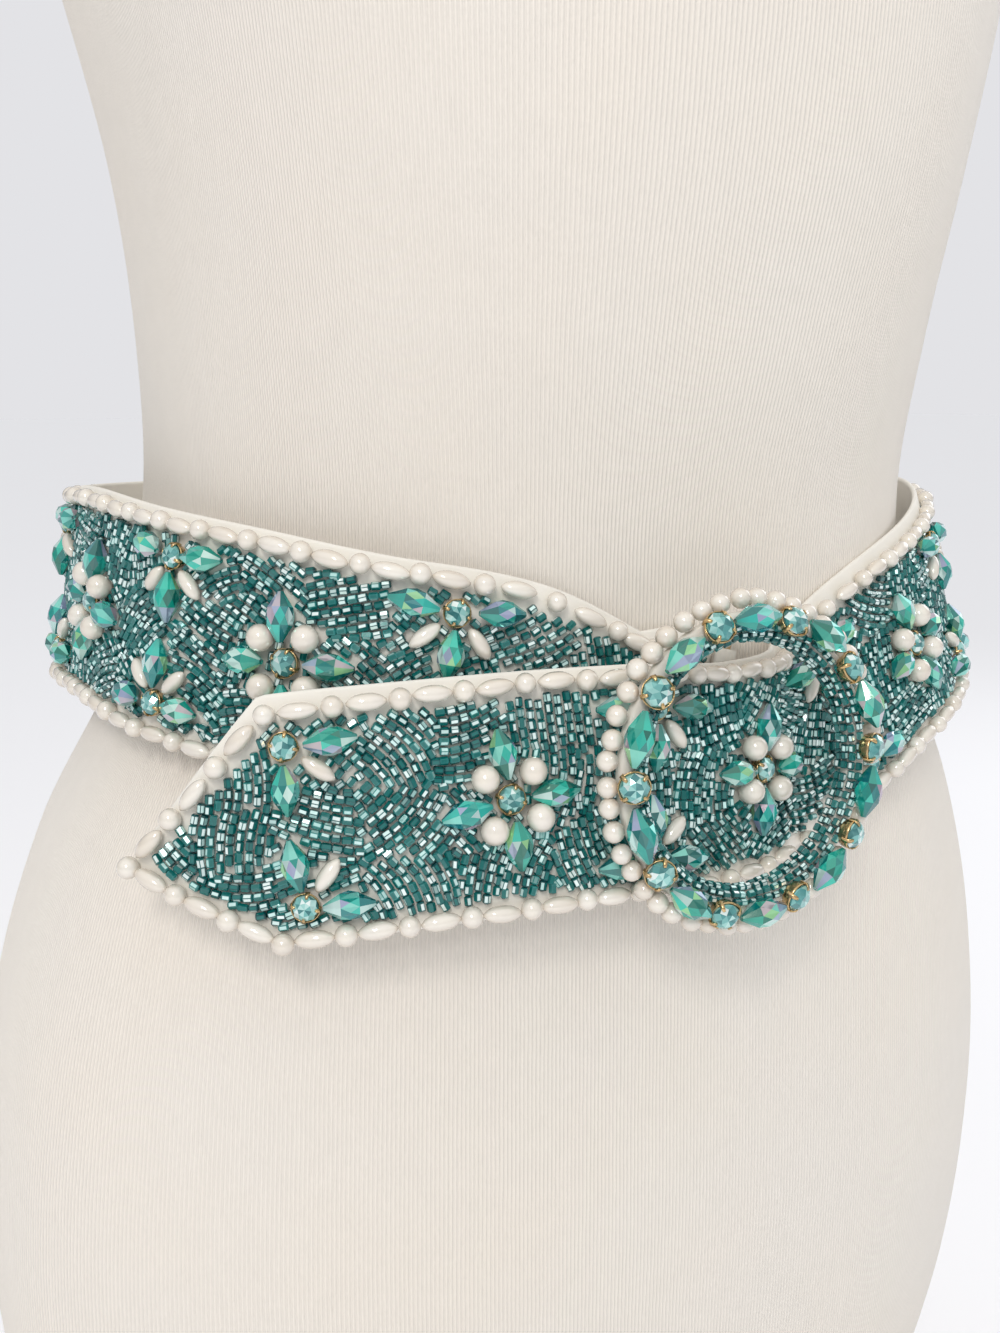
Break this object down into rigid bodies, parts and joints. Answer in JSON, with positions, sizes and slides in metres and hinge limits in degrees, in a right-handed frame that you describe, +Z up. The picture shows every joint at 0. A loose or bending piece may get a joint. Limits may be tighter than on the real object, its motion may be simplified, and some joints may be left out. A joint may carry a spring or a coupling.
{
  "type": "beaded belt on a dress form",
  "caption": "Wide cloth belt covered in teal beadwork with pearl edges, a pointed end and a round beaded buckle, fastened round the waist of a limbless dress form.",
  "frame": {"origin": "middle of the dress form's flat base, on the surface it stands on", "axes": "+Z up along the form, -Y towards the front and the buckle, +X towards the form's left side, the viewer's right"},
  "size_m": [0.3496, 0.2562, 0.885],
  "materials": {
    "jersey": "finely ribbed cream jersey cover",
    "beadwork": "cream cloth covered in rows of dark teal seed beads",
    "pearl": "soft cream pearl lustre",
    "crystal": "faceted teal glass with a colour-shift coat",
    "backing": "smooth cream cloth",
    "wire": "plain round wire"
  },
  "bodies": {
    "root": {"dress_form": "jersey", "band_over": "beadwork", "band_right": "beadwork", "band_back": "beadwork", "band_left": "beadwork", "band_under": "beadwork", "edge_over": "pearl", "edge_top_right": "pearl", "edge_bottom_right": "pearl", "edge_top_back": "pearl", "edge_bottom_back": "pearl", "edge_top_left": "pearl", "edge_bottom_left": "pearl", "edge_top_under": "pearl", "edge_bottom_under": "pearl", "flower_01": "crystal", "flower_02": "crystal", "flower_03": "crystal", "flower_04": "crystal", "flower_05": "crystal", "flower_06": "crystal", "flower_07": "crystal", "flower_08": "crystal", "flower_09": "crystal", "flower_10": "crystal", "flower_11": "crystal", "cluster_01": "crystal", "cluster_02": "crystal", "cluster_03": "crystal", "cluster_04": "crystal", "cluster_05": "crystal", "cluster_06": "crystal", "cluster_07": "crystal", "cluster_08": "crystal", "cluster_09": "crystal", "cluster_10": "crystal", "cluster_11": "crystal", "cluster_12": "crystal", "cluster_13": "crystal", "cluster_14": "crystal", "cluster_15": "crystal", "cluster_16": "crystal", "cluster_17": "crystal", "cluster_18": "crystal", "cluster_19": "crystal", "cluster_20": "crystal", "cluster_21": "crystal", "cluster_22": "crystal", "cluster_23": "crystal", "buckle_ring": "backing", "buckle_rim_pearls": "pearl", "buckle_beads": "crystal", "buckle_bar": "wire", "bar_loop": "backing"}
  },
  "joints": []
}
